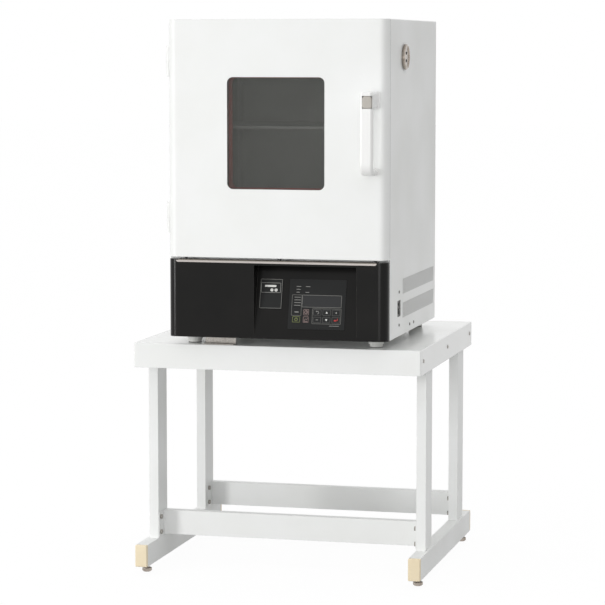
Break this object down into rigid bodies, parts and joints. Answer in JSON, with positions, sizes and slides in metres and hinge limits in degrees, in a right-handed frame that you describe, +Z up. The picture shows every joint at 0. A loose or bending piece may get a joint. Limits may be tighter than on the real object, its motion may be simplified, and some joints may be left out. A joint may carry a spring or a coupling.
{
  "type": "laboratory drying oven",
  "caption": "Bench-height drying oven with a windowed side-hinged door, slanted control console, exhaust damper and vent slots, bolted by a bracket to its matching open steel stand.",
  "frame": {"origin": "on the floor, under the middle of the whole object's box, levellers screwed in", "axes": "+X to the right as a person faces the door, +Y into the oven, +Z up; the door faces -Y"},
  "size_m": [0.7712, 0.8166, 1.456],
  "materials": {
    "white_coat": "smooth powder coat, satin",
    "dark_fascia": "fine satin",
    "overlay_grey": "satin film",
    "key_dark": "satin film",
    "trim_light": "brushed, light",
    "plated_steel": "zinc plated",
    "stainless": "brushed stainless",
    "chrome": "polished",
    "cap_cream": "moulded",
    "button_grey": "satin",
    "handle_white": "smooth moulded",
    "black_part": "moulded",
    "screw_dark": "blackened",
    "wool": "glass wool blanket",
    "glass_clear": "clear",
    "seal_red": "silicone",
    "gasket_grey": "silicone",
    "foot_rubber": "moulded",
    "window_tint": "dark display window"
  },
  "bodies": {
    "cabinet": {"stand_top": "white_coat", "side_frame_left": "white_coat", "side_frame_right": "white_coat", "stretcher_front": "white_coat", "stretcher_rear": "white_coat", "stand_bolts": "screw_dark", "rail_end_caps": "cap_cream", "cabinet_shell": "white_coat", "cabinet_back": "white_coat", "cabinet_base": "plated_steel", "front_frame": "white_coat", "oven_feet": "foot_rubber", "fixing_bracket": "plated_steel", "chamber_liner": "stainless", "chamber_insulation": "wool", "shelf_rails": "stainless", "shelf": "stainless", "heater": "stainless", "heater_cover": "stainless", "temperature_sensor": "stainless", "door_gasket": "gasket_grey", "strike_plate": "plated_steel", "cable_gland": "black_part", "exhaust_port": "stainless", "fascia": "dark_fascia", "trim_strip": "trim_light", "protector_module": "black_part", "controller_module": "overlay_grey", "display_window": "window_tint", "breaker_body": "black_part", "cabinet_screws": "screw_dark", "hinge_brackets": "white_coat"},
    "door": {"door_shell": "white_coat", "door_liner": "stainless", "door_insulation": "wool", "outer_glass": "glass_clear", "inner_glass": "glass_clear", "window_seal": "seal_red", "door_handle": "handle_white", "hinge_barrels": "white_coat"},
    "handle_button": {"handle_button": "button_grey"},
    "latch_tongue": {"latch_tongue": "plated_steel"},
    "damper_dial": {"damper_dial": "chrome"},
    "breaker_rocker": {"breaker_rocker": "black_part"},
    "protector_key_down": {"protector_key_down": "key_dark"},
    "protector_key_up": {"protector_key_up": "key_dark"},
    "leveller_front_left": {"leveller_front_left": "chrome"},
    "leveller_front_right": {"leveller_front_right": "chrome"},
    "leveller_rear_left": {"leveller_rear_left": "chrome"},
    "leveller_rear_right": {"leveller_rear_right": "chrome"},
    "key_menu": {"key_menu": "key_dark"},
    "key_timer": {"key_timer": "key_dark"},
    "key_back": {"key_back": "key_dark"},
    "key_up": {"key_up": "key_dark"},
    "key_left": {"key_left": "key_dark"},
    "key_power": {"key_power": "key_dark"},
    "key_memory": {"key_memory": "key_dark"},
    "key_clear": {"key_clear": "key_dark"},
    "key_down": {"key_down": "key_dark"},
    "key_enter": {"key_enter": "key_dark"}
  },
  "joints": [
    {"name": "door_swing", "type": "hinge", "parent": "cabinet", "child": "door", "pos_m": [-0.2855, -0.30175, 1.112], "axis": [0, 0, -1], "range_deg": [0, 170]},
    {"name": "handle_button_press", "type": "slide", "parent": "door", "child": "handle_button", "axis": [0, 1, 0], "range_m": [0, 0.005], "stiffness_N_per_m": 300, "springref_m": -0.003},
    {"name": "latch_lift", "type": "slide", "parent": "door", "child": "latch_tongue", "axis": [0, 0, 1], "range_m": [0, 0.005]},
    {"name": "damper_turn", "type": "hinge", "parent": "cabinet", "child": "damper_dial", "pos_m": [0.3049, -0.14075, 1.36], "axis": [1, 0, 0], "range_deg": [0, 90]},
    {"name": "breaker_rock", "type": "hinge", "parent": "cabinet", "child": "breaker_rocker", "pos_m": [0.29125, -0.19275, 0.712], "axis": [0, -1, 0], "range_deg": [0, 30]},
    {"name": "key_menu_press", "type": "slide", "parent": "cabinet", "child": "key_menu", "axis": [0, 0.9703, -0.2419], "range_m": [0, 0.0004], "stiffness_N_per_m": 150, "springref_m": -0.001},
    {"name": "key_timer_press", "type": "slide", "parent": "cabinet", "child": "key_timer", "axis": [0, 0.9703, -0.2419], "range_m": [0, 0.0004], "stiffness_N_per_m": 150, "springref_m": -0.001},
    {"name": "key_back_press", "type": "slide", "parent": "cabinet", "child": "key_back", "axis": [0, 0.9703, -0.2419], "range_m": [0, 0.0004], "stiffness_N_per_m": 150, "springref_m": -0.001},
    {"name": "key_up_press", "type": "slide", "parent": "cabinet", "child": "key_up", "axis": [0, 0.9703, -0.2419], "range_m": [0, 0.0004], "stiffness_N_per_m": 150, "springref_m": -0.001},
    {"name": "key_left_press", "type": "slide", "parent": "cabinet", "child": "key_left", "axis": [0, 0.9703, -0.2419], "range_m": [0, 0.0004], "stiffness_N_per_m": 150, "springref_m": -0.001},
    {"name": "key_power_press", "type": "slide", "parent": "cabinet", "child": "key_power", "axis": [0, 0.9703, -0.2419], "range_m": [0, 0.0004], "stiffness_N_per_m": 150, "springref_m": -0.001},
    {"name": "key_memory_press", "type": "slide", "parent": "cabinet", "child": "key_memory", "axis": [0, 0.9703, -0.2419], "range_m": [0, 0.0004], "stiffness_N_per_m": 150, "springref_m": -0.001},
    {"name": "key_clear_press", "type": "slide", "parent": "cabinet", "child": "key_clear", "axis": [0, 0.9703, -0.2419], "range_m": [0, 0.0004], "stiffness_N_per_m": 150, "springref_m": -0.001},
    {"name": "key_down_press", "type": "slide", "parent": "cabinet", "child": "key_down", "axis": [0, 0.9703, -0.2419], "range_m": [0, 0.0004], "stiffness_N_per_m": 150, "springref_m": -0.001},
    {"name": "key_enter_press", "type": "slide", "parent": "cabinet", "child": "key_enter", "axis": [0, 0.9703, -0.2419], "range_m": [0, 0.0004], "stiffness_N_per_m": 150, "springref_m": -0.001},
    {"name": "protector_key_down_press", "type": "slide", "parent": "cabinet", "child": "protector_key_down", "axis": [0, 0.9703, -0.2419], "range_m": [0, 0.0004], "stiffness_N_per_m": 150, "springref_m": -0.001},
    {"name": "protector_key_up_press", "type": "slide", "parent": "cabinet", "child": "protector_key_up", "axis": [0, 0.9703, -0.2419], "range_m": [0, 0.0004], "stiffness_N_per_m": 150, "springref_m": -0.001},
    {"name": "leveller_front_left_turn", "type": "hinge", "parent": "cabinet", "child": "leveller_front_left", "pos_m": [-0.367, -0.25475, 0.01], "axis": [0, 0, 1], "continuous": true},
    {"name": "leveller_rear_left_turn", "type": "hinge", "parent": "cabinet", "child": "leveller_rear_left", "pos_m": [-0.367, 0.35525, 0.01], "axis": [0, 0, 1], "continuous": true},
    {"name": "leveller_front_right_turn", "type": "hinge", "parent": "cabinet", "child": "leveller_front_right", "pos_m": [0.367, -0.25475, 0.01], "axis": [0, 0, 1], "continuous": true},
    {"name": "leveller_rear_right_turn", "type": "hinge", "parent": "cabinet", "child": "leveller_rear_right", "pos_m": [0.367, 0.35525, 0.01], "axis": [0, 0, 1], "continuous": true}
  ],
  "couplings": [
    {"joint": "latch_lift", "follows": "handle_button_press", "ratio": 1}
  ]
}
